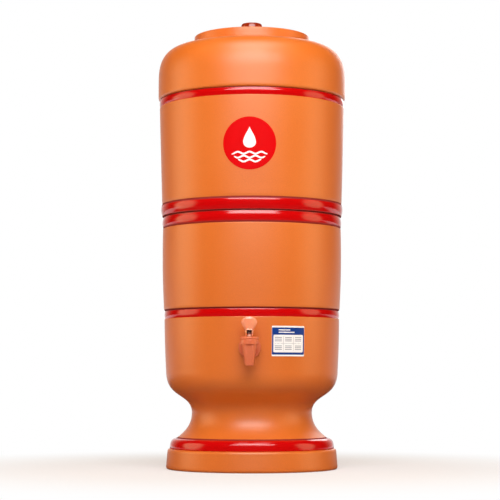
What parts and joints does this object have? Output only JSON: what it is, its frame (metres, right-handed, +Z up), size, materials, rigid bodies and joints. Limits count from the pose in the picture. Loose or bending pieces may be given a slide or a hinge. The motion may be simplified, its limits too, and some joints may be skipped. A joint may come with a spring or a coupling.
{
  "type": "gravity water filter with tap",
  "caption": "Terracotta gravity water filter: lid, upper chamber with ceramic candle and float valve, footed lower chamber and a plastic lever tap.",
  "frame": {"origin": "middle of the foot's underside, on the filter's axis, at table level", "axes": "+Z up along the filter's axis, -Y towards the tap and the badge, +X to the right seen from the tap's side"},
  "size_m": [0.252, 0.2717, 0.5994],
  "materials": {
    "terracotta": "satin",
    "red_sticker": "gloss",
    "white_sticker": "satin",
    "white_plastic": "satin",
    "blue_plastic": "gloss",
    "white_ceramic": "matte",
    "carbon": "matte",
    "dark_rubber": "matte",
    "silicone": "satin",
    "rod_plastic": "satin",
    "tap_plastic": "gloss",
    "steel": "polished"
  },
  "bodies": {
    "lower_body": {"lower_chamber": "terracotta", "info_label": "white_sticker", "tap_body": "tap_plastic", "tap_outer_gasket": "dark_rubber", "tap_inner_gasket": "dark_rubber", "tap_nut": "tap_plastic", "tap_bonnet": "tap_plastic"},
    "upper_body": {"upper_chamber": "terracotta", "badge": "red_sticker", "candle_base": "white_plastic", "candle_shell": "white_ceramic", "candle_carbon": "carbon", "candle_upper_washer": "dark_rubber", "candle_lower_washer": "dark_rubber", "candle_wing_nut": "white_plastic", "float_cage": "white_plastic"},
    "lid_body": {"lid": "terracotta"},
    "float_body": {"float_shell": "blue_plastic", "float_cap": "blue_plastic", "float_pad": "dark_rubber"},
    "valve_body": {"tap_plug": "silicone", "tap_spring": "steel"},
    "rod_body": {"tap_stem": "rod_plastic", "tap_stem_ring": "dark_rubber", "tap_pin": "steel"},
    "lever_body": {"tap_lever": "tap_plastic"}
  },
  "joints": [
    {"name": "upper_lift", "type": "slide", "parent": "lower_body", "child": "upper_body", "axis": [0, 0, 1], "range_m": [0, 0.1]},
    {"name": "lid_lift", "type": "slide", "parent": "upper_body", "child": "lid_body", "axis": [0, 0, 1], "range_m": [0, 0.08]},
    {"name": "float_rise", "type": "slide", "parent": "upper_body", "child": "float_body", "axis": [0, 0, 1], "range_m": [0, 0.008]},
    {"name": "valve_rise", "type": "slide", "parent": "lower_body", "child": "valve_body", "axis": [0, 0, 1], "range_m": [0, 0.003], "deforming": ["tap_spring"]},
    {"name": "rod_swivel", "type": "hinge", "parent": "valve_body", "child": "rod_body", "pos_m": [0, -0.13397, 0.165], "axis": [0, 0, 1], "range_deg": [-90, 90]},
    {"name": "lever_tilt", "type": "hinge", "parent": "rod_body", "child": "lever_body", "pos_m": [0, -0.13397, 0.1768], "axis": [1, 0, 0], "range_deg": [0, 75]}
  ],
  "couplings": [
    {"joint": "valve_rise", "follows": "lever_tilt", "m_per_rad": 0.00229}
  ]
}
